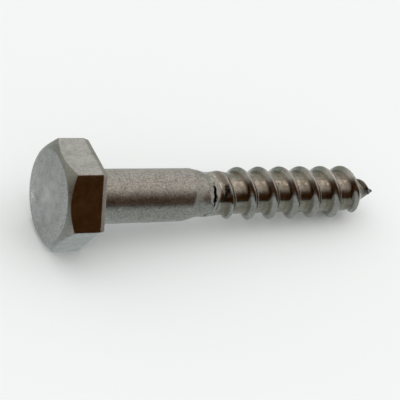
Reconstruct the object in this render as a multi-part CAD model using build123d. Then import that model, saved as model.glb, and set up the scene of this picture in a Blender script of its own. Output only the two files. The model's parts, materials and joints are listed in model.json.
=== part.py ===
from build123d import *
import math
import os

# Hexagon-head lag screw, also called a coach screw: one solid piece of steel wire.
# The head is cold-forged on the wire, and a coarse wood thread is rolled on its thinner half.
# Lengths are in millimetres and angles in degrees.
# The screw is built along its own axis: the bearing face under the head is at station 0,
# the head lies at negative stations and the point is at +screw_length.
# Angles about that axis are right-handed and start at the side that faces the ground at rest.

# Head: it is forged a little off the shank's axis
across_flats = 17.0
head_height = 6.9
face_diameter = 16.1
face_chamfer_angle = 36.0
lower_rim_radius = 0.4
head_offset = 0.3
head_offset_angle = 140.0

# Shank, from the bearing face
screw_length = 60.2
shank_diameter = 9.5
shank_length = 19.1
shoulder_length = 3.8
neck_diameter = 7.92
underhead_radius = 1.0

# Thread, right-handed, on the thinner half
pitch = 4.5
crest_diameter = 9.66
root_diameter = 7.14
crest_width = 0.25
flank_half_angle = 34.0
thread_start = 20.7
thread_start_angle = 110.0
run_in_length = 10.1

# Point: the core is one cone, and the crests run down a steeper one
point_half_angle = 27.2
crest_cone_half_angle = 36.4
thread_end_to_tip = 1.0
run_out_length = 1.3
nose_radius = 0.15

# Detail of the thread's lofted ridge
sections_per_turn = 12
sunk_share = 0.1
buried_share = 0.035

# Worked out from the sizes above
shank_radius = shank_diameter / 2
neck_radius = neck_diameter / 2
crest_radius = crest_diameter / 2
root_radius = root_diameter / 2
neck_station = shank_length + shoulder_length
full_depth_station = thread_start + run_in_length
point_slope = math.tan(math.radians(point_half_angle))
crest_cone_slope = math.tan(math.radians(crest_cone_half_angle))
root_end_station = screw_length - root_radius / point_slope
thread_end_station = screw_length - thread_end_to_tip
flank_slope = math.tan(math.radians(flank_half_angle))
head_offset_down = head_offset * math.cos(math.radians(head_offset_angle))
head_offset_across = head_offset * math.sin(math.radians(head_offset_angle))


def smooth_step(share):
    """Rises from 0 to 1 with a level start and a level end."""
    held = min(max(share, 0.0), 1.0)
    return held * held * (3.0 - 2.0 * held)


def core_radius_at(station):
    """Radius of the core between the thread's turns, from the neck to the tip of the point."""
    share = (station - neck_station) / (full_depth_station - neck_station)
    held = min(max(share, 0.0), 1.0)
    rolled = neck_radius + (root_radius - neck_radius) * held
    return min(rolled, (screw_length - station) * point_slope)


def crest_radius_at(station):
    """Radius that the ridge reaches: it grows out of the neck and dies out near the tip."""
    grown = smooth_step((station - thread_start) / run_in_length)
    left = smooth_step((thread_end_station - station) / run_out_length)
    core = core_radius_at(station)
    buried = core * (1.0 - buried_share)
    body = buried + (crest_radius - buried) * grown
    full = min(body, (screw_length - station) * crest_cone_slope)
    return buried + (full - buried) * left


def ridge_section(station, angle):
    """Trapezium across the ridge, in the half-plane through the axis at that angle."""
    crest = crest_radius_at(station)
    base = core_radius_at(station) * (1.0 - sunk_share)
    half_crest = crest_width / 2
    half_base = half_crest + (crest - base) * flank_slope
    corners = [
        (core_radius_at(station - half_base) * (1.0 - sunk_share), -half_base),
        (crest_radius_at(station - half_crest), -half_crest),
        (crest_radius_at(station + half_crest), half_crest),
        (core_radius_at(station + half_base) * (1.0 - sunk_share), half_base),
    ]
    turn = math.radians(angle)
    outward = (math.cos(turn), math.sin(turn), 0)
    across = (math.sin(turn), -math.cos(turn), 0)
    half_plane = Plane(origin=(0, 0, station), x_dir=outward, z_dir=across)
    return half_plane * make_face(Polyline(*corners, close=True))


def make_ridge_turns():
    """The thread's ridge as one loft for each turn, sunk a little into the core."""
    thread_length = thread_end_station - thread_start
    count = math.ceil(thread_length / pitch * sections_per_turn)
    step = thread_length / count
    sections = []
    for index in range(count + 1):
        travel = index * step
        angle = thread_start_angle + 360.0 * travel / pitch
        sections.append(ridge_section(thread_start + travel, angle))
    turns = []
    for first in range(0, count, sections_per_turn):
        turns.append(loft(sections[first : first + sections_per_turn + 1]))
    return turns


def make_shank_and_point():
    """Shank, shoulder, neck, threaded core and point, turned from one outline."""
    nose_centre = screw_length - nose_radius / math.sin(math.radians(point_half_angle))
    nose_touch = nose_centre + nose_radius * math.sin(math.radians(point_half_angle))
    nose_touch_radius = (screw_length - nose_touch) * point_slope
    flare_edge = (shank_radius + underhead_radius, 0)
    flare_end = (shank_radius, underhead_radius)
    shank_end = (shank_radius, shank_length)
    neck = (neck_radius, neck_station)
    rolled = (root_radius, full_depth_station)
    core_end = (root_radius, root_end_station)
    nose_start = (nose_touch_radius, nose_touch)
    nose_tip = (0, nose_centre + nose_radius)
    outline = [
        Line((0, 0), flare_edge),
        RadiusArc(flare_edge, flare_end, underhead_radius),
        Line(flare_end, shank_end),
        Line(shank_end, neck),
        Line(neck, rolled),
        Line(rolled, core_end),
        Line(core_end, nose_start),
        RadiusArc(nose_start, nose_tip, -nose_radius),
        Line(nose_tip, (0, 0)),
    ]
    return revolve(Plane.XZ * make_face(outline), axis=Axis.Z)


def make_head():
    """Hexagon with its top corners turned off in a cone and a rounded lower rim."""
    flats = RegularPolygon(across_flats / 2, side_count=6, major_radius=False, rotation=30)
    hexagon = extrude(flats, amount=-head_height)
    rim = hexagon.faces().sort_by(Axis.Z)[-1].edges()
    hexagon = fillet(rim, lower_rim_radius)
    cone_spread = head_height / math.tan(math.radians(face_chamfer_angle))
    face_radius = face_diameter / 2
    turned = Cone(face_radius, face_radius + cone_spread, head_height)
    return hexagon & Pos(0, 0, -head_height / 2) * turned


def resting_tilt():
    """Slope of the axis when the head's lower rim and one crest both touch the ground."""
    rim_radius = across_flats / 2 + head_offset_down - lower_rim_radius
    slopes = []
    station = thread_start + pitch * (1.0 - (thread_start_angle % 360.0) / 360.0)
    while station < thread_end_station:
        reach = station + crest_width / 2
        drop = rim_radius - crest_radius_at(reach)
        distance = math.hypot(reach + lower_rim_radius, drop)
        line = math.atan2(drop, reach + lower_rim_radius)
        slopes.append(line + math.asin(lower_rim_radius / distance))
        station += pitch
    return math.degrees(min(slopes))


def lay_down(screw):
    """Turns the screw on its side as it rests: axis along +X, point low, on the plane Z = 0."""
    laid = Rotation(0, 90 + resting_tilt(), 0) * screw
    box = laid.bounding_box()
    return Pos(-box.center().X, -box.center().Y, -box.min.Z) * laid


head = Pos(head_offset_down, head_offset_across, 0) * make_head()
screw = head + make_shank_and_point()
for ridge_turn in make_ridge_turns():
    screw += ridge_turn
lag_screw = lay_down(screw)

os.makedirs("parts", exist_ok=True)
export_step(lag_screw, "parts/lag_screw.step")
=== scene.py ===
import json
import math
import bpy
import numpy as np
from mathutils import Matrix, Vector

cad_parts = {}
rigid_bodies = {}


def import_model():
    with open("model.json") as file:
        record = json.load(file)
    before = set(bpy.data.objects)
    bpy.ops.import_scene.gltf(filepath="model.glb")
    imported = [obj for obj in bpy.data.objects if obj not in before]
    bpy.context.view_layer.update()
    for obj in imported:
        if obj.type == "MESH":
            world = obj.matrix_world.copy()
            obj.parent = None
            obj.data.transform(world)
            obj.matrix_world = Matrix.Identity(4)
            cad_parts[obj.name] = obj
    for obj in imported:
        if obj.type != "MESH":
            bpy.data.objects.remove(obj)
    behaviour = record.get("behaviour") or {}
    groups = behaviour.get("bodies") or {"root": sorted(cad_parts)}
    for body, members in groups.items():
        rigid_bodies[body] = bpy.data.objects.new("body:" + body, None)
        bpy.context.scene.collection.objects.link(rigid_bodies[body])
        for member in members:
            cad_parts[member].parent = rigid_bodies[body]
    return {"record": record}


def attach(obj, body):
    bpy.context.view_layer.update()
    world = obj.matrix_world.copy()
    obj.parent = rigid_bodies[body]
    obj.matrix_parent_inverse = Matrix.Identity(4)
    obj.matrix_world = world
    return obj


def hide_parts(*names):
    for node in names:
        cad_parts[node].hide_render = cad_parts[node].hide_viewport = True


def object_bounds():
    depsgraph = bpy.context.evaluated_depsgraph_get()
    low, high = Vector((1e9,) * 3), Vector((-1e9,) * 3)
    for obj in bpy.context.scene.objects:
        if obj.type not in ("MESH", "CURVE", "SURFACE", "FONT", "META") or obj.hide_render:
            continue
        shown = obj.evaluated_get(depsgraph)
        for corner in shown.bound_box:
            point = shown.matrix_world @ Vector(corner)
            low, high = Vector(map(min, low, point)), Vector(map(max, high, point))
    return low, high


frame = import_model()
cad_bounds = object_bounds()

# ---------------------------------------------------------------------------
# Threaded shank: plain shank, shoulder, neck, wood thread and point.
# With the head it is one length of steel wire. The thread is rolled: the dies press the roots
# in and squeeze the steel up into a ridge, which folds over where it grows out of the neck.

# A station is a distance along the axis from the bearing face, positive towards the point.
shank_radius = 0.00475
drawn_radius = 0.00470
sweep_start = 0.0180
shank_end = 0.0191
shank_end_bend = 0.00004
shoulder_slope = 0.235
shoulder_slant = 0.0009
slant_turn = 140.0 / 360.0
neck_radius = 0.00388
neck_slant = 0.00008
neck_station = 0.0229
neck_bend = 0.00020
lapped_bend = 0.00060
root_radius = 0.00357
full_depth_station = 0.0308
screw_length = 0.0602
point_half_angle = math.radians(27.2)
nose_radius = 0.00015
nose_cut_share = 0.8
underhead_radius = 0.0010

# The ridge's flanks are wide and low where it is young, and steeper towards the point.
pitch = 0.0045
crest_radius = 0.00483
crest_width = 0.00025
flank_half_angle = math.radians(34.0)
thread_start = 0.0207
thread_start_turn = 110.0 / 360.0
run_in_length = 0.0101
thread_end = 0.0592
run_out_length = 0.0013
crest_cone_half_angle = math.radians(36.4)
buried_share = 0.035
root_fillet = 0.00050
crest_rounding = 0.00030
young_flank_spread = 42.0
widest_flank = 9.0
steepening = 0.75
far_flank_share = 0.3
young_lee_spread = 6.2
young_lee_width = 0.0012
lee_start = 0.0235
lee_growth = 0.0010

# The fold is a raised lip on one side, a dipped neck and a tongue on the other, and a crack.
# A ripple has its waves in a turn, its height and its shift.
lap_station = 0.02346
lap_ripples = ((17, 0.00007, 0.0), (41, 0.00004, 1.0))
lap_hook = 0.0012
lap_hook_angle = 280.0
lap_hook_span = 25.0
lap_raise = 0.00014
lap_raise_reach = 0.0009
lap_drop = 0.00015
lap_drop_reach = 0.0022
lap_edge = 0.0004
neck_dip = 0.00018
neck_dip_reach = 0.0022
tongue_rise = 0.00012
tongue_reach = 0.0012
crack_depth = 0.00018
crack_width = 0.000153
crack_ripple = (27, 0.2, 2.0)
crack_opening = 0.4
crack_closing = 0.8
crack_hook = 0.0020
crack_hook_angle = 281.0
crack_hook_span = 18.0

# Beside the fold lie a dark pocket that narrows round the screw and a seam, both dirt and painted
# shade, and a raised scuff and scratch that carry painted highlights.
pocket_station = 0.02585
pocket_angle = 228.0
pocket_span = 26.0
pocket_slope = 0.000033
pocket_width = 0.00078
pocket_narrowing = 0.000014
pocket_steepness = 1.3
seam_station = 0.0242
seam_width = 0.00016
seam_crown = 1.3
seam_share = 0.8
scuff_station = 0.02433
scuff_angle = 178.0
scuff_slope = 0.0000163
scuff_width = 0.00032
faint_scuff = 0.8
scuff_height = 0.00007
scratch_station = 0.02481
scratch_angle = 194.0
scratch_slope = 0.0000377
scratch_width = 0.00020

# Degrees round the axis at which a form starts, is full, starts to fade and is gone.
# They count from the side that faces the ground, and 90 is towards +Y.
lapped_angles = (165.0, 190.0, 270.0, 300.0)
steep_angles = (160.0, 198.0, 226.0, 250.0)
lee_angles = (45.0, 80.0, 160.0, 195.0)
lip_angles = (250.0, 280.0, 305.0, 325.0)
tongue_angles = (180.0, 208.0, 248.0, 272.0)
crack_angles = (206.0, 220.0, 300.0, 307.0)
open_crack_angles = (210.0, 222.0, 240.0, 250.0)
closed_crack_angles = (249.0, 253.0, 256.0, 260.0)
pocket_angles = (192.0, 216.0, 240.0, 256.0)
seam_angles = (246.0, 251.0, 274.0, 288.0)
scuff_angles = (168.0, 182.0, 215.0, 245.0)
scratch_angles = (180.0, 188.0, 207.0, 212.0)

# The swept mesh has its columns round the axis, and its rows along one pitch.
columns = 144
rows = 56
turns_before_thread = 2.0
weld_distance = 0.000002


def smooth_step(share):
    """Rises from 0 to 1 with a level start and a level end."""
    held = np.clip(share, 0.0, 1.0)
    return held * held * (3.0 - 2.0 * held)


def rise(value, start, length):
    """0 up to the start, 1 past the length, and a smooth rise between them."""
    return smooth_step((value - start) / length)


def band(distance, reach, crown=1.0):
    """1 on a line, and smoothly down to 0 beside it. A crown above 1 makes the top broad."""
    return smooth_step(crown - np.abs(distance) / reach)


def degrees_round(turn):
    """Degrees round the axis, from 0 to 360."""
    return turn * 360.0 % 360.0


def around(turn, angles):
    """How far a form is there at this turn, from 0 to 1."""
    start, full, last, end = angles
    angle = degrees_round(turn)
    return smooth_step((angle - start) / (full - start)) * smooth_step((end - angle) / (end - last))


def ripple(turn, waves, height, shift):
    """An even ripple with this many waves in a turn."""
    return height * np.sin(2.0 * math.pi * waves * turn + shift)


def blend_higher(first, second, reach):
    """The higher of two radii, with the corner between them filled in over the reach."""
    near = np.clip(1.0 - np.abs(first - second) / reach, 0.0, 1.0)
    return np.maximum(first, second) + near * near * reach / 4.0


def blend_lower(first, second, reach):
    """The lower of two radii, with the corner between them worn off over the reach."""
    return -blend_higher(-first, -second, reach)


def core_radius(station, turn):
    """Radius between the turns: shank, slanting shoulder, neck, rolled root, cone and nose."""
    slant = np.cos(2.0 * math.pi * (turn - slant_turn))
    shoulder_start = shank_end + shoulder_slant * slant
    shoulder = drawn_radius - shoulder_slope * (station - shoulder_start)
    neck = neck_radius - neck_slant * slant
    rolled_share = np.clip((station - neck_station) / (full_depth_station - neck_station), 0.0, 1.0)
    rolled = neck + (root_radius - neck) * rolled_share
    bend = neck_bend + (lapped_bend - neck_bend) * around(turn, lapped_angles)
    body = blend_higher(blend_lower(drawn_radius, shoulder, shank_end_bend), rolled, bend)
    cone = (screw_length - station) * math.tan(point_half_angle)
    nose_centre = screw_length - nose_radius / math.sin(point_half_angle)
    nose = np.sqrt(np.clip(nose_radius**2 - (station - nose_centre) ** 2, 0.0, None))
    on_nose = station > nose_centre + nose_radius * math.sin(point_half_angle)
    return np.where(on_nose, nose, np.minimum(body, cone))


def ridge_height(station, turn):
    """Radius of the crest where its line passes this station."""
    grown = rise(station, thread_start, run_in_length)
    left = smooth_step((thread_end - station) / run_out_length)
    buried = core_radius(station, turn) * (1.0 - buried_share)
    body = buried + (crest_radius - buried) * grown
    cone = (screw_length - station) * math.tan(crest_cone_half_angle)
    return buried + (np.minimum(body, cone) - buried) * left


def from_crest_line(station, turn):
    """Distance along the axis from the nearest crest line, positive towards the point."""
    phase = (station - thread_start) / pitch - (turn - thread_start_turn)
    return (phase - np.round(phase)) * pitch


def from_lap(station, turn):
    """Distance along the axis from the ragged line where the squeezed-up steel folded over."""
    hook = lap_hook * rise(degrees_round(turn), lap_hook_angle, lap_hook_span)
    ragged = sum(ripple(turn, *each) for each in lap_ripples)
    return station - (lap_station + hook + ragged)


def crack_share(station, turn):
    """How deep in the crack under the fold a point lies, from 0 to 1."""
    hook = crack_hook * rise(degrees_round(turn), crack_hook_angle, crack_hook_span)
    width = crack_width * (1.0 + ripple(turn, *crack_ripple))
    width = width * (1.0 + crack_opening * around(turn, open_crack_angles))
    broken = 1.0 - crack_closing * around(turn, closed_crack_angles)
    return band(from_lap(station, turn) + hook, width) * broken * around(turn, crack_angles)


def pocket_share(station, turn):
    """How deep in the pocket of dirt and painted shade by the fold and the young thread a point
    lies.
    """
    drawn_back = np.clip(degrees_round(turn) - pocket_angle, 0.0, pocket_span)
    width = pocket_width - pocket_narrowing * drawn_back
    off_pocket = np.abs(station - pocket_station + pocket_slope * drawn_back)
    inside = np.clip(1.0 - off_pocket / width, 0.0, 1.0)
    pocket = smooth_step(pocket_steepness * inside) * around(turn, pocket_angles)
    seam = band(station - seam_station, seam_width, seam_crown) * around(turn, seam_angles)
    return np.maximum(pocket, seam_share * seam)


def scuff_share(station, turn):
    """How near a point lies to the scuff or to the scratch beside the fold, from 0 to 1."""
    angle = degrees_round(turn)
    scuff_line = scuff_station + scuff_slope * (angle - scuff_angle)
    scuff = band(station - scuff_line, scuff_width) * around(turn, scuff_angles)
    scratch_line = scratch_station + scratch_slope * (angle - scratch_angle)
    scratch = band(station - scratch_line, scratch_width) * around(turn, scratch_angles)
    return np.maximum(faint_scuff * scuff, scratch)


def lap_fold(station, turn):
    """Change of radius where the thread's first turn folds over on to the neck."""
    past = from_lap(station, turn)
    raised = lap_raise * smooth_step(1.0 + past / lap_raise_reach)
    dropped = -lap_drop * smooth_step(1.0 - past / lap_drop_reach)
    over = rise(past, -lap_edge / 2, lap_edge)
    lip = (raised + (dropped - raised) * over) * around(turn, lip_angles)
    dipped = -neck_dip * np.clip(1.0 + past / neck_dip_reach, 0.0, 1.0) ** 2
    tongued = tongue_rise * smooth_step(1.0 - past / tongue_reach)
    tongue = np.where(past < 0.0, dipped, tongued) * around(turn, tongue_angles)
    crack = -crack_depth * crack_share(station, turn)
    return lip + tongue + crack + scuff_height * scuff_share(station, turn)


def thread_radius(station, turn):
    """Radius of the finished surface: the core, the ridge that stands on it, and the fold."""
    core = core_radius(station, turn)
    off_crest = from_crest_line(station, turn)
    crest_station = station - off_crest
    crest = ridge_height(crest_station, turn)
    young = 1.0 - rise(crest_station, thread_start, run_in_length)
    spread = young_flank_spread * young**3 * (1.0 - steepening * around(turn, steep_angles))
    spread = np.minimum(1.0 + spread, widest_flank)
    far_spread = 1.0 + (spread - 1.0) * far_flank_share * young
    lee = around(turn, lee_angles) * (off_crest > 0.0)
    lee = lee * young * rise(crest_station, lee_start, lee_growth)
    spread = np.where(off_crest < 0.0, spread, far_spread) + young_lee_spread * lee
    flat_crest = crest_width / 2 + young_lee_width * lee
    flank = crest - (np.abs(off_crest) - flat_crest) / (math.tan(flank_half_angle) * spread)
    ridge = blend_lower(crest, flank, crest_rounding)
    radius = blend_higher(core, ridge, root_fillet)
    nose_share = smooth_step((screw_length - station) / run_out_length)
    return core + (radius - core) * nose_share + lap_fold(station, turn)


def select_points(piece, chosen):
    """Leaves a piece in edit mode with only its chosen points selected."""
    bpy.ops.object.mode_set(mode="EDIT")
    bpy.ops.mesh.select_mode(type="VERT")
    bpy.ops.mesh.select_all(action="DESELECT")
    bpy.ops.object.mode_set(mode="OBJECT")
    for vertex in piece.data.vertices:
        vertex.select = chosen(vertex.co)
    bpy.ops.object.mode_set(mode="EDIT")


def flatten_beyond(piece, station, sense):
    """Presses every point past a station flat on to the plane there, and welds what meets."""
    select_points(piece, lambda place: (place.z - station) * sense > -weld_distance)
    bpy.ops.transform.resize(value=(1.0, 1.0, 0.0), center_override=(0.0, 0.0, station))
    bpy.ops.mesh.select_all(action="SELECT")
    bpy.ops.mesh.remove_doubles(threshold=weld_distance)
    bpy.ops.object.mode_set(mode="OBJECT")


# One pitch of the surface, as a row of short edges, is swept along the helix.
profile_start = thread_start - thread_start_turn * pitch - turns_before_thread * pitch
sweep_turns = math.ceil((screw_length - profile_start) / pitch)
for cad_node in bpy.data.objects:
    cad_node.select_set(False)
bpy.ops.mesh.primitive_plane_add(
    size=pitch,
    location=(root_radius + pitch / 2, 0.0, profile_start + pitch / 2),
    rotation=(math.radians(90.0), 0.0, 0.0),
)
shank = bpy.context.object
bpy.ops.object.transform_apply(location=True, rotation=True, scale=True)
select_points(shank, lambda place: place.x > root_radius + pitch / 2)
bpy.ops.mesh.delete(type="VERT")
bpy.ops.mesh.select_all(action="SELECT")
bpy.ops.mesh.subdivide(number_cuts=rows - 1)
bpy.ops.object.mode_set(mode="OBJECT")
helix = shank.modifiers.new("helix", "SCREW")
helix.axis = "Z"
helix.angle = math.radians(360.0)
helix.screw_offset = pitch
helix.iterations = sweep_turns
helix.steps = columns
helix.render_steps = columns
helix.use_merge_vertices = False
bpy.ops.object.modifier_apply(modifier=helix.name)
bpy.ops.object.mode_set(mode="EDIT")
bpy.ops.mesh.select_all(action="SELECT")
bpy.ops.mesh.remove_doubles(threshold=weld_distance)
bpy.ops.object.mode_set(mode="OBJECT")
nose_cut = screw_length - nose_radius / math.sin(point_half_angle) + nose_cut_share * nose_radius
flatten_beyond(shank, sweep_start, -1.0)
flatten_beyond(shank, nose_cut, 1.0)


def places_of(piece):
    """The places of a piece's points, one row for each."""
    places = np.empty(len(piece.data.vertices) * 3)
    piece.data.vertices.foreach_get("co", places)
    return places.reshape(-1, 3)


# Each point of the swept tube is then moved out or in to the thread's own radius, and the nose
# is closed with one small face.
swept = places_of(shank)
swept_turns = np.arctan2(swept[:, 1], swept[:, 0]) / (2.0 * math.pi)
stretch = thread_radius(swept[:, 2], swept_turns) / np.hypot(swept[:, 0], swept[:, 1])
swept[:, 0] *= stretch
swept[:, 1] *= stretch
shank.data.vertices.foreach_set("co", swept.ravel())
shank.data.update()
select_points(shank, lambda place: abs(place.z - nose_cut) < weld_distance)
bpy.ops.mesh.edge_face_add()
bpy.ops.object.mode_set(mode="OBJECT")

# ---------------------------------------------------------------------------
# Head: a plain hexagon, forged cold on the end of the same steel wire, a little off its axis.
# Its top corners are turned off in a cone, the die leaves its lower rim tapered, and the face
# is bare. With it the screw is whole, and gets the finish of its plain steel.

across_flats = 0.0170
head_height = 0.0069
face_radius = 0.00795
face_chamfer_angle = math.radians(36.0)
rim_height = 0.00092
rim_depth = 0.00028
head_offset = 0.0003
head_offset_angle = math.radians(140.0)
face_edge_softness = 0.00016
chamfer_edge_softness = 0.00007
rim_softness = 0.00010
corner_softness = 0.00012
corner_rounds = 2
face_rings = 10
side_rows = 8
rim_rows = 3
bearing_rows = 4
flare_rows = 8
face_edge_steps = 6
edge_steps = 4
sharp_angle = math.radians(40.0)

flats = 6
flat_columns = columns // flats
flat_turn = 2.0 * math.pi / flats
half_side = across_flats / 2 * math.tan(flat_turn / 2)

# Columns crowd towards the hexagon's corners on the head, and are even on the round shank.
share = np.linspace(-1.0, 1.0, flat_columns + 1)[:-1]
on_flat = np.arctan(half_side * np.sin(share * math.pi / 2) / (across_flats / 2))
crowded = np.concatenate([on_flat + flat * flat_turn for flat in range(flats)])
crowded = np.append(crowded, crowded[0] + 2.0 * math.pi)
even = np.linspace(-flat_turn / 2, 2.0 * math.pi - flat_turn / 2, columns + 1)


def hexagon_radius(apothem):
    """Radius of a hexagon with slightly worn corners, at each crowded column.

    Each round brings the worn outline closer to the flats' own distance.
    """
    near_flat = (crowded + flat_turn / 2) % flat_turn - flat_turn / 2
    this_flat = np.cos(near_flat)
    next_flat = np.cos(flat_turn - np.abs(near_flat))
    radius = apothem / this_flat
    for _ in range(corner_rounds):
        reached = blend_higher(radius * this_flat, radius * next_flat, corner_softness)
        radius = radius * apothem / reached
    return radius


def soft_corner(before, corner, after, reach, steps):
    """Points of a rounded corner between two straight stretches of the outline."""
    into = corner - before
    into = into / np.linalg.norm(into, axis=1, keepdims=True)
    out = after - corner
    out = out / np.linalg.norm(out, axis=1, keepdims=True)
    start = corner - into * reach
    end = corner + out * reach
    bent = []
    for step in range(steps + 1):
        t = step / steps
        bent.append(start * (1 - t) ** 2 + corner * 2 * t * (1 - t) + end * t**2)
    return bent


def outline_point(radius, station):
    """One point of the outline for every column: radius and station."""
    return np.column_stack([np.ones(columns + 1) * radius, np.ones(columns + 1) * station])


side_radius = hexagon_radius(across_flats / 2)
face_centre = outline_point(0.0, -head_height)
face_edge = outline_point(face_radius, -head_height)
chamfer_foot = outline_point(
    side_radius, (side_radius - face_radius) * math.tan(face_chamfer_angle) - head_height
)
rim_top = outline_point(side_radius, -rim_height)
rim_foot = outline_point(hexagon_radius(across_flats / 2 - rim_depth), 0.0)
flare_edge = outline_point(shank_radius + underhead_radius, 0.0)
outline = []
for ring in range(face_rings):
    ring_radius = (face_radius - face_edge_softness) * ring / face_rings
    outline.append(outline_point(ring_radius, -head_height))
outline += soft_corner(face_centre, face_edge, chamfer_foot, face_edge_softness, face_edge_steps)
outline += soft_corner(face_edge, chamfer_foot, rim_top, chamfer_edge_softness, edge_steps)
side_top = outline[-1]
rim_bend = soft_corner(side_top, rim_top, rim_foot, rim_softness, edge_steps)
foot_bend = soft_corner(rim_top, rim_foot, flare_edge, rim_softness, edge_steps)
for row in range(1, side_rows):
    outline.append(side_top + (rim_bend[0] - side_top) * row / side_rows)
outline += rim_bend
for row in range(1, rim_rows):
    outline.append(rim_bend[-1] + (foot_bend[0] - rim_bend[-1]) * row / rim_rows)
outline += foot_bend
ring_bearings = [crowded] * len(outline)
off_axis = [1.0] * len(outline)
bearing_edge = outline[-1]
for row in range(1, bearing_rows):
    spaced = row / bearing_rows
    outline.append(bearing_edge + (flare_edge - bearing_edge) * spaced)
    ring_bearings.append(crowded + (even - crowded) * spaced)
    off_axis.append(1.0 - spaced)
for row in range(flare_rows + 1):
    flared = math.radians(90.0) * row / flare_rows
    flare_radius = shank_radius + underhead_radius * (1.0 - math.sin(flared))
    outline.append(outline_point(flare_radius, underhead_radius * (1.0 - math.cos(flared))))
    ring_bearings.append(even)
    off_axis.append(0.0)

# A flat grid is wrapped round the axis, ring by ring, on to that outline.
bpy.ops.object.select_all(action="DESELECT")
bpy.ops.mesh.primitive_grid_add(
    x_subdivisions=columns, y_subdivisions=len(outline) - 1, size=across_flats
)
head = bpy.context.object
radii = np.concatenate([ring[:, 0] for ring in outline])
stations = np.concatenate([ring[:, 1] for ring in outline])
bearings = np.concatenate(ring_bearings)
offset = head_offset * np.repeat(off_axis, columns + 1)
wrapped = np.column_stack(
    [
        radii * np.cos(bearings) + offset * math.cos(head_offset_angle),
        radii * np.sin(bearings) + offset * math.sin(head_offset_angle),
        stations,
    ]
)
head.data.vertices.foreach_set("co", wrapped.ravel())
bpy.ops.object.mode_set(mode="EDIT")
bpy.ops.mesh.select_all(action="SELECT")
bpy.ops.mesh.remove_doubles(threshold=weld_distance)
bpy.ops.object.mode_set(mode="OBJECT")

# The plain shank closes the gap between the flare under the head and the thread's first ring.
shank.select_set(True)
head.select_set(True)
bpy.context.view_layer.objects.active = head
bpy.ops.object.join()
screw = head
screw.name = "screw_body"
bpy.ops.object.mode_set(mode="EDIT")
bpy.ops.mesh.select_mode(type="EDGE")
bpy.ops.mesh.select_all(action="DESELECT")
bpy.ops.mesh.select_non_manifold()
bpy.ops.mesh.bridge_edge_loops()
bpy.ops.mesh.select_all(action="SELECT")
bpy.ops.mesh.normals_make_consistent(inside=False)
bpy.ops.object.mode_set(mode="OBJECT")
bpy.ops.object.shade_smooth_by_angle(angle=sharp_angle)

whole = places_of(screw)
station = whole[:, 2]
from_axis = np.hypot(whole[:, 0], whole[:, 1])
turn = np.arctan2(whole[:, 1], whole[:, 0]) / (2.0 * math.pi)
off_crest = from_crest_line(station, turn)
on_head = station < 0.0
on_thread = station > sweep_start

# Wear on the thread's crests, most of all where something struck them, and painted highlights
# along the scuff, the scratch and the lip of the fold.
crest_wear = 0.18
crest_wear_reach = 0.0003
proud_ratio = 1.12
proud_growth = 0.1
struck_wear = 0.7
struck_station = 0.0410
struck_growth = 0.0040
struck_angles = (150.0, 165.0, 192.0, 205.0)
# Painted highlights along the scuff, the scratch and the fold's lip.
scuff_wear = 1.3
fold_wear = 0.7
fold_wear_shift = 0.0001
fold_wear_reach = 0.0003
fold_wear_angles = (168.0, 176.0, 204.0, 214.0)

proud = rise(from_axis / root_radius, proud_ratio, proud_growth)
struck = around(turn, struck_angles) * rise(station, struck_station, struck_growth)
crest_line = band(off_crest, crest_wear_reach) * proud
fold_line = band(from_lap(station, turn) + fold_wear_shift, fold_wear_reach)
fold_line = fold_line * around(turn, fold_wear_angles)
thread_wear = np.maximum.reduce(
    [
        (crest_wear + struck_wear * struck) * crest_line,
        # painted highlight along the scuff and the scratch
        scuff_wear * scuff_share(station, turn),
        # painted highlight along the lip of the fold
        fold_wear * fold_line,
    ]
)

# Wear on the head: corners, chamfer edge and rim of the face, and a painted highlight as one
# bright spot on the face.
side_depth = 0.0004
side_growth = 0.0003
corner_wear = 0.25
corner_wear_reach = 0.0003
chamfer_wear = 0.12
chamfer_wear_reach = 0.00016
knocked_wear = 0.4
knocked_reach = 0.003
face_rim_wear = 0.12
face_rim_reach = 0.0003
face_depth = 0.0001
# A painted highlight: one bright spot on the face.
rub_wear = 0.85
highlight_spot_radius = 0.0065
highlight_spot_angle = math.radians(50.0)
highlight_spot_size = 0.00140
highlight_spot_crown = 1.1

head_x = whole[:, 0] - head_offset * math.cos(head_offset_angle)
head_y = whole[:, 1] - head_offset * math.sin(head_offset_angle)
from_head_axis = np.hypot(head_x, head_y)
flat_angles = [flat * flat_turn for flat in range(flats)]
reaches = [head_x * math.cos(angle) + head_y * math.sin(angle) for angle in flat_angles]
reaches = np.sort(reaches, axis=0)
off_corner = reaches[-1] - reaches[-2]
off_cone = station + head_height - (from_head_axis - face_radius) * math.tan(face_chamfer_angle)
on_side = rise(reaches[-1], across_flats / 2 - side_depth, side_growth)
on_face = band(station + head_height, face_depth)
knocked = chamfer_wear + knocked_wear * band(off_corner, knocked_reach)
highlight_spot_x = head_x - highlight_spot_radius * math.cos(highlight_spot_angle)
highlight_spot_y = head_y - highlight_spot_radius * math.sin(highlight_spot_angle)
highlight_spot = band(np.hypot(highlight_spot_x, highlight_spot_y), highlight_spot_size, highlight_spot_crown) * on_face
head_wear = np.maximum.reduce(
    [
        corner_wear * on_side * band(off_corner, corner_wear_reach),
        on_side * knocked * band(off_cone, chamfer_wear_reach),
        face_rim_wear * on_face * band(from_head_axis - face_radius, face_rim_reach),
        # painted highlight on one spot of the face
        rub_wear * highlight_spot,
    ]
)

# What the tools left: flats and turns pressed by the dies, the turned cone and the smoother middle
# of the face. Painted shade and painted glints lie in the rolled roots, and dirt with painted shade
# at the feet of the flanks that face the head.
flat_edge_growth = 0.00006
cone_growth = 0.00010
pressed_station = 0.0218
pressed_growth = 0.0015
middle_radius = 0.0075
middle_growth = 0.0035
rolled_station = 0.0240
rolled_growth = 0.0015
hollow_height = 0.0006
# The feet of the flanks that face the head get dirt and painted shade.
foot_height = 0.00024
foot_reach = 0.00032
foot_crown = 1.25
# Painted glints in the roots, on one side of the screw.
root_glint = 0.62
glint_angles = (178.0, 196.0, 206.0, 220.0)
spot_highlight = 0.80

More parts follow.
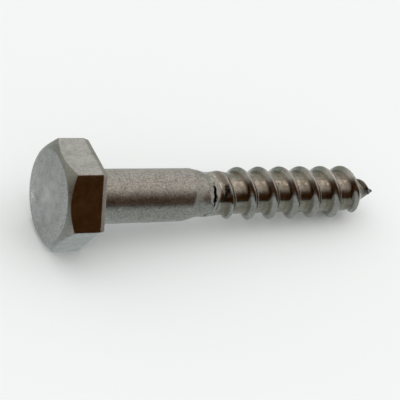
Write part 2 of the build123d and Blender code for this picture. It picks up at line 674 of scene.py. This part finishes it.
below_cone = rise(off_cone, 0.0, flat_edge_growth) * on_head
pressed_turns = rise(station, pressed_station, pressed_growth)
past_face = rise(from_head_axis, face_radius - cone_growth, cone_growth)
on_cone = (1.0 - below_cone) * past_face * on_head
middle = on_face * smooth_step((middle_radius - from_head_axis) / middle_growth)
above_core = from_axis - core_radius(station, turn)
rolled_in = rise(station, rolled_station, rolled_growth)
hollow = smooth_step(1.0 - above_core / hollow_height) * rolled_in
foot = band(above_core - foot_height, foot_reach, foot_crown) * (off_crest < 0.0) * rolled_in
# Painted glints in the roots, and the painted highlight of the spot on the face.
painted_highlights = np.maximum(root_glint * hollow * around(turn, glint_angles), spot_highlight * highlight_spot)

# Darkening: painted shade in the crack, dirt and painted shade in the pocket and at the feet of
# the last flanks, darker low on the tip and in the corner under the head, and dirt as one speck on
# the plain shank.
# Painted shade in the crack.
crack_shade = 1.35
# Dirt and painted shade in the pocket and the seam.
pocket_dirt_and_shade = 0.50
speck_dirt = 0.8
speck_station = 0.0037
speck_radians = 4.64
speck_size = 0.00035
speck_crown = 1.2
# Darker low on the roots near the point, and at the feet of the last flanks.
tip_darkening = 0.36
tip_station = 0.0560
tip_growth = 0.0012
tip_height = 0.0007
tip_crown = 1.3
last_foot_station = 0.0530
last_foot_growth = 0.0020
underhead_darkening = 0.4
underhead_station = 0.0002
underhead_reach = 0.0005
underhead_edge = 0.0062

speck_across = shank_radius * (turn * 2.0 * math.pi % (2.0 * math.pi) - speck_radians)
speck = band(np.hypot(station - speck_station, speck_across), speck_size, speck_crown)
low_on_core = smooth_step(tip_crown - above_core / tip_height)
underhead = band(station - underhead_station, underhead_reach) * (from_head_axis < underhead_edge)
dirt_and_shade = np.maximum.reduce(
    [
        # painted shade in the crack
        np.clip(crack_shade * crack_share(station, turn), 0.0, 1.0) * on_thread,
        # dirt and painted shade in the pocket and the seam
        pocket_dirt_and_shade * pocket_share(station, turn) * on_thread,
        speck_dirt * speck * (station > 0.0),
        # darker low near the point
        tip_darkening * rise(station, tip_station, tip_growth) * low_on_core,
        # dirt and painted shade at the feet of the last flanks
        tip_darkening * rise(station, last_foot_station, last_foot_growth) * foot,
        # darker in the corner under the head
        underhead_darkening * underhead,
    ]
)

# The steel reads each of these from the surface: 0 is nowhere, and about 1 is in full.
marks = {
    # Wear, with painted highlights.
    "wear": np.maximum(thread_wear * on_thread, head_wear * on_head),
    # Dirt, with painted shade.
    "grime_and_shade": dirt_and_shade,
    "die_pressed": np.maximum(pressed_turns, on_side * below_cone),
    "turned_cone": on_cone,
    # Dirt and painted shade at the flanks' feet.
    "foot": foot,
    # The roots, which get painted shade.
    "hollow": hollow,
    # Painted glints and a painted highlight.
    "painted_highlight": painted_highlights,
    "head_face": middle,
}
for name, shares in marks.items():
    mark = screw.data.attributes.new(name, "FLOAT", "POINT")
    mark.data.foreach_set("value", shares)

# The finished screw is laid down along the axis that the frame gives.
mounts = {mount["name"]: mount for mount in frame["record"]["mounts"]}
axis = Vector(mounts["shank"]["axis"]).normalized()
bearing_centre = Vector(mounts["shank"]["pos_m"]) - axis * (underhead_radius + shank_end) / 2
across = Vector((0.0, 1.0, 0.0))
down = across.cross(axis)
laid = Matrix.Translation(bearing_centre) @ Matrix((down, across, axis)).transposed().to_4x4()
screw.matrix_world = laid
bpy.ops.object.transform_apply(location=True, rotation=True, scale=True)


class Socket:
    """An output of a shader node, on which plain arithmetic adds Math nodes."""

    def __init__(self, graph, output):
        self.graph = graph
        self.output = output

    def maths(self, operation, *values):
        return self.graph.node("ShaderNodeMath", {"operation": operation}, dict(enumerate(values)))

    def __add__(self, other):
        return self.maths("ADD", self, other)

    def __radd__(self, other):
        return self.maths("ADD", other, self)

    def __sub__(self, other):
        return self.maths("SUBTRACT", self, other)

    def __rsub__(self, other):
        return self.maths("SUBTRACT", other, self)

    def __mul__(self, other):
        return self.maths("MULTIPLY", self, other)

    def __rmul__(self, other):
        return self.maths("MULTIPLY", other, self)

    def __truediv__(self, other):
        return self.maths("DIVIDE", self, other)

    def higher(self, other):
        return self.maths("MAXIMUM", self, other)

    def unsigned(self):
        return self.maths("ABSOLUTE", self)

    def ramp(self, start, end):
        """0 below the start and 1 above the end, with a smooth rise between them."""
        inputs = {"Value": self, "From Min": start, "From Max": end}
        return self.graph.node("ShaderNodeMapRange", {"interpolation_type": "SMOOTHSTEP"}, inputs)


class Graph:
    """The nodes of one material."""

    def __init__(self, material):
        material.use_nodes = True
        self.tree = material.node_tree
        self.shader = self.tree.nodes["Principled BSDF"]
        self.surface = self.tree.nodes["Material Output"].inputs["Surface"]

    def join(self, value, socket):
        """Links a socket to an output, or sets it to a plain value."""
        if isinstance(value, Socket):
            self.tree.links.new(value.output, socket)
        else:
            socket.default_value = value

    def node(self, kind, settings, inputs, output=0):
        """Adds a node: its settings first, then its sockets. Returns one of its outputs."""
        made = self.tree.nodes.new(kind)
        for name, value in settings.items():
            setattr(made, name, value)
        for name, value in inputs.items():
            self.join(value, made.inputs[name])
        return Socket(self, made.outputs[output])

    def noise(self, place, size, detail, roughness=0.5):
        """Smooth random values round 0.5, with lumps of about this size in metres."""
        inputs = {"Vector": place, "Scale": 1.0 / size, "Detail": detail, "Roughness": roughness}
        return self.node("ShaderNodeTexNoise", {}, inputs)

    def blend(self, share, first, second):
        """A colour between two others."""
        inputs = {"Factor": share, 6: first, 7: second}
        return self.node("ShaderNodeMix", {"data_type": "RGBA"}, inputs, 2)

    def scaled(self, colour, amount):
        """A colour made lighter or darker."""
        inputs = {0: colour, "Scale": amount}
        return self.node("ShaderNodeVectorMath", {"operation": "SCALE"}, inputs)


# Plain steel: cold-formed grain, drawing lines along the wire, soft blotches and small pits, with
# painted shade in the hollows and painted highlights on a few lines and spots.
steel_colour = (0.335, 0.345, 0.340)
root_shade_colour = (0.22, 0.19, 0.13, 1.0)
foot_colour = (0.082, 0.068, 0.038, 1.0)
worn_and_highlight_colour = (0.64, 0.61, 0.58, 1.0)
highlight_colour = (0.66, 0.60, 0.53, 1.0)
pit_colour = (0.11, 0.115, 0.11, 1.0)
dirt_and_shade_colour = (0.010, 0.009, 0.007, 1.0)
root_shade = 0.42
foot_dirt_and_shade = 0.38
foot_shade = -0.30
highlight_spread = 1.5
highlight_strength = 0.85
pit_strength = 0.36
dirt_and_shade_spread = 1.3
line_depth = 0.25
cloud_depth = 0.6
line_stretch = (0.05, 1.0, 1.0)
steel_roughness = 0.315
blotch_roughness = 0.12
dirt_roughness = 0.30
relief_height = 0.000009
blotch_relief = 0.6
line_relief = 0.35
pit_relief = 0.5

steel = bpy.data.materials.new("plain_steel")
graph = Graph(steel)
marked = {
    name: graph.node("ShaderNodeAttribute", {"attribute_name": name}, {}, "Fac") for name in marks
}
place = graph.node("ShaderNodeTexCoord", {}, {}, "Object")
level = (0.0, -math.asin(-axis.z), 0.0)
along = graph.node("ShaderNodeMapping", {}, {"Vector": place, "Rotation": level})
drawn = graph.node("ShaderNodeMapping", {}, {"Vector": along, "Scale": line_stretch})
grain = graph.noise(place, size=0.00033, detail=2.0, roughness=0.6)
blotch = graph.noise(place, size=0.0017, detail=3.0)
cloud = graph.noise(place, size=0.006, detail=1.0)
lines = graph.noise(drawn, size=0.00016, detail=2.0)
pits = graph.noise(place, size=0.00045, detail=1.0).ramp(start=0.69, end=0.76)
scratched = graph.noise(along, size=0.0006, detail=2.0).ramp(start=0.45, end=0.65)
glint_noise = graph.noise(place, size=0.0007, detail=3.0)
# Painted glints and highlight, broken up by noise.
glinting = (marked["painted_highlight"] * highlight_spread + glint_noise - 1.0).ramp(start=0.25, end=0.75)
# Dirt with painted shade, spread by the grain.
soot_and_shade = (marked["grime_and_shade"] * dirt_and_shade_spread + (grain - 0.5)).ramp(start=0.15, end=0.75)


def by_mark(value, **changes):
    """A value with a change for each mark, which is made in full where the mark is full."""
    for name, change in changes.items():
        value = value + marked[name] * change
    return value


grain_depth = by_mark(1.9, die_pressed=-1.0, turned_cone=-1.1, head_face=-1.4, hollow=0.6)
blotch_depth = by_mark(0.45, head_face=0.6, die_pressed=0.3, hollow=0.8)
tone = 1.0 + (grain - 0.5) * grain_depth + (blotch - 0.5) * blotch_depth
tone = tone + (lines - 0.5) * line_depth
# The roots' tone is lowered as painted shade; the face, flats and cone differ in finish.
tone = by_mark(tone, head_face=-0.13, die_pressed=0.07, hollow=-0.15, turned_cone=0.06)
tone = tone + (cloud - 0.5) * marked["head_face"] * cloud_depth
# Painted shade, with dirt, darkens the feet of the flanks.
tone = tone * by_mark(1.0, foot=foot_shade)
colour = graph.scaled(steel_colour, tone)
# Painted shade in the thread roots.
colour = graph.blend(marked["hollow"] * root_shade, colour, root_shade_colour)
# Dirt and painted shade at the feet of the flanks.
colour = graph.blend(marked["foot"] * foot_dirt_and_shade, colour, foot_colour)
# Wear, and painted highlights on the scuff, scratch, fold lip and face spot.
colour = graph.blend(marked["wear"] * scratched, colour, worn_and_highlight_colour)
# Painted glints in the roots and a painted highlight on the face.
colour = graph.blend(glinting * highlight_strength, colour, highlight_colour)
colour = graph.blend(pits * pit_strength, colour, pit_colour)
# Dirt, and painted shade in the crack, pocket and feet; darker at the tip and under the head.
colour = graph.blend(soot_and_shade, colour, dirt_and_shade_colour)
grain_roughness = by_mark(0.10, die_pressed=0.08)
rough = steel_roughness + (blotch - 0.5) * blotch_roughness + (grain - 0.5) * grain_roughness
rough = by_mark(rough, wear=-0.05, die_pressed=-0.125) + soot_and_shade * dirt_roughness
rough = by_mark(rough, turned_cone=0.08)
relief = grain + blotch * blotch_relief + lines * line_relief - pits * pit_relief
relief = relief * by_mark(1.0, die_pressed=-0.5)
bumps = {"Strength": 1.0, "Distance": relief_height, "Height": relief}
graph.join(colour, graph.shader.inputs["Base Color"])
graph.join(1.0, graph.shader.inputs["Metallic"])
graph.join(rough, graph.shader.inputs["Roughness"])
graph.join(graph.node("ShaderNodeBump", {}, bumps), graph.shader.inputs["Normal"])
screw.data.materials.clear()
screw.data.materials.append(steel)
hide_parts("lag_screw")
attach(screw, "root")

# ---------------------------------------------------------------------------
# Floor: one plain sheet of pale matt paper, cut so large that its edges are out of sight.
# It lies flat under the screw, and the screw's soft shadow falls on it.

floor_size = 6.0
paper_colour = (0.913, 0.930, 0.921, 1.0)

bpy.ops.object.select_all(action="DESELECT")
bpy.ops.mesh.primitive_plane_add(size=floor_size, location=(0.0, 0.0, cad_bounds[0][2]))
floor = bpy.context.object
floor.name = "floor"
paper = bpy.data.materials.new("pale_paper")
sheet = Graph(paper)
sheet.join(paper_colour, sheet.shader.inputs["Base Color"])
sheet.join(1.0, sheet.shader.inputs["Roughness"])
sheet.join(0.0, sheet.shader.inputs["Specular IOR Level"])
floor.data.materials.append(paper)

# ---------------------------------------------------------------------------
# Light: a plain white tent all round. For the metal to reflect there are also a dome of warm
# gauze, hazy on two sides and hung with dark brown cloth in front, and a flat card that glows grey
# in front of the screw and further out all round it, and dark brown far out in front. Only
# reflections see the dome and the card.

white = (1.0, 1.0, 1.0, 1.0)
dome_radius = 0.25
dome_segments = 96
dome_rings = 48
gauze_colour = (0.92, 0.81, 0.72, 1.0)
thin_gauze_colour = (1.0, 0.965, 0.90, 1.0)
haze_colour = (0.10, 0.22, 0.16, 1.0)
cloth_colour = (0.073, 0.024, 0.002, 1.0)
side_haze = 0.60
back_haze = 0.42

world = bpy.data.worlds.new("tent")
bpy.context.scene.world = world
world.use_nodes = True
tent = world.node_tree.nodes["Background"]
tent.inputs["Color"].default_value = white
tent.inputs["Strength"].default_value = 1.0

bpy.ops.object.select_all(action="DESELECT")
bpy.ops.mesh.primitive_uv_sphere_add(
    segments=dome_segments, ring_count=dome_rings, radius=dome_radius
)
dome = bpy.context.object
dome.name = "gauze_dome"
select_points(dome, lambda place: place.z < -weld_distance)
bpy.ops.mesh.delete(type="VERT")
bpy.ops.object.mode_set(mode="OBJECT")
gauze = bpy.data.materials.new("gauze")
veil = Graph(gauze)
where = veil.node("ShaderNodeTexCoord", {}, {}, "Object")
height = veil.node("ShaderNodeSeparateXYZ", {}, {0: where}, "Z") / dome_radius


def facing(graph, place, azimuth):
    """1 where a place lies this way from the screw, and -1 on the far side."""
    heading = math.radians(azimuth)
    way = (math.sin(heading), math.cos(heading), 0.0)
    flat_way = {0: place, 1: (1.0, 1.0, 0.0)}
    flat_way = graph.node("ShaderNodeVectorMath", {"operation": "MULTIPLY"}, flat_way)
    flat_way = graph.node("ShaderNodeVectorMath", {"operation": "NORMALIZE"}, {0: flat_way})
    ways = {0: flat_way, 1: way}
    return graph.node("ShaderNodeVectorMath", {"operation": "DOT_PRODUCT"}, ways, "Value")


def hung(azimuth, edge, top):
    """1 where something hangs on this side of the dome, fading at its edges and its top."""
    return facing(veil, where, azimuth).ramp(*edge) * (1.0 - height.ramp(*top))


def mixed(graph, share, first, second):
    """A surface between two others."""
    return graph.node("ShaderNodeMixShader", {}, {0: share, 1: first, 2: second})


front = hung(azimuth=200.0, edge=(0.10, 0.45), top=(0.40, 1.00))
side = hung(azimuth=315.0, edge=(0.20, 0.80), top=(0.25, 0.80)) * side_haze
back = hung(azimuth=74.0, edge=(0.66, 0.84), top=(0.35, 0.70)) * back_haze
gap = hung(azimuth=20.0, edge=(0.75, 0.95), top=(0.60, 0.75)) * height.ramp(start=0.42, end=0.52)
clear_gauze = veil.node("ShaderNodeBsdfTransparent", {}, {"Color": gauze_colour})
thin_gauze = veil.node("ShaderNodeBsdfTransparent", {}, {"Color": thin_gauze_colour})
haze = veil.node("ShaderNodeBsdfDiffuse", {}, {"Color": haze_colour})
cloth = veil.node("ShaderNodeBsdfDiffuse", {}, {"Color": cloth_colour})
veiled = mixed(veil, gap, clear_gauze, thin_gauze)
veiled = mixed(veil, side.higher(back), veiled, haze)
veiled = mixed(veil, front, veiled, cloth)
veil.join(veiled, veil.surface)
dome.data.materials.append(gauze)

card_size = 0.6
card_height = 0.00005
under_head_x = -0.029
under_head_colour = (0.58, 0.62, 0.61, 1.0)
beside_colour = (0.52, 0.53, 0.49, 1.0)
brown_colour = (0.030, 0.016, 0.006, 1.0)

bpy.ops.object.select_all(action="DESELECT")
bpy.ops.mesh.primitive_plane_add(size=card_size, location=(0.0, 0.0, card_height))
card = bpy.context.object
card.name = "grey_card"
bpy.ops.object.transform_apply(location=True, rotation=True, scale=True)
grey = bpy.data.materials.new("grey_card")
board = Graph(grey)
spot = board.node("ShaderNodeTexCoord", {}, {}, "Object")
spot_x = board.node("ShaderNodeSeparateXYZ", {}, {0: spot}, "X")
spot_y = board.node("ShaderNodeSeparateXYZ", {}, {0: spot}, "Y")
reach = board.node("ShaderNodeVectorMath", {"operation": "LENGTH"}, {0: spot}, "Value")
beside_head = (spot_x - under_head_x).unsigned().ramp(start=0.006, end=0.012)
away = facing(board, spot, azimuth=190.0).ramp(start=0.42, end=0.62)
away = reach.ramp(start=0.030, end=0.058) * away
in_front = (0.0 - spot_y).ramp(start=0.001, end=0.004)
laid_card = in_front.higher(reach.ramp(start=0.035, end=0.065))


def shining(colour):
    """A part of the card that glows this colour, for the metal to reflect."""
    return board.node("ShaderNodeEmission", {}, {"Color": colour, "Strength": 1.0})


bare_floor = board.node("ShaderNodeBsdfTransparent", {}, {"Color": white})
shade = mixed(board, beside_head, shining(under_head_colour), shining(beside_colour))
shade = mixed(board, away, shade, shining(brown_colour))
board.join(mixed(board, laid_card, bare_floor, shade), board.surface)
card.data.materials.append(grey)
for thing in (dome, card):
    thing.visible_camera = False
    thing.visible_diffuse = False
    thing.visible_shadow = False

# ---------------------------------------------------------------------------
# Camera: above and to the left, looking along the screw from the head's side.
# It has a long lens and stands well back, so the screw shows little perspective.

view_azimuth = math.radians(34.6352)
view_drop = math.radians(36.8321)
view_roll = math.radians(17.9451)
view_distance = 0.271255
aim_from_centre = Vector((-0.003561, -0.000403, -0.003146))
sensor_width = 36.0
focal_length = 137.099
nearest_seen = 0.01

low, high = (Vector(corner) for corner in cad_bounds)
aim = (low + high) / 2 + aim_from_centre
looking = Vector(
    (
        math.sin(view_azimuth) * math.cos(view_drop),
        math.cos(view_azimuth) * math.cos(view_drop),
        -math.sin(view_drop),
    )
)
lens = bpy.data.cameras.new("camera")
lens.sensor_width = sensor_width
lens.lens = focal_length
lens.clip_start = nearest_seen
camera = bpy.data.objects.new("camera", lens)
bpy.context.scene.collection.objects.link(camera)
upright = looking.to_track_quat("-Z", "Y").to_matrix()
rolled = Matrix.Rotation(view_roll, 3, -looking) @ upright
camera.matrix_world = Matrix.Translation(aim - looking * view_distance) @ rolled.to_4x4()
bpy.context.scene.camera = camera

bpy.context.scene.view_settings.view_transform = "Standard"
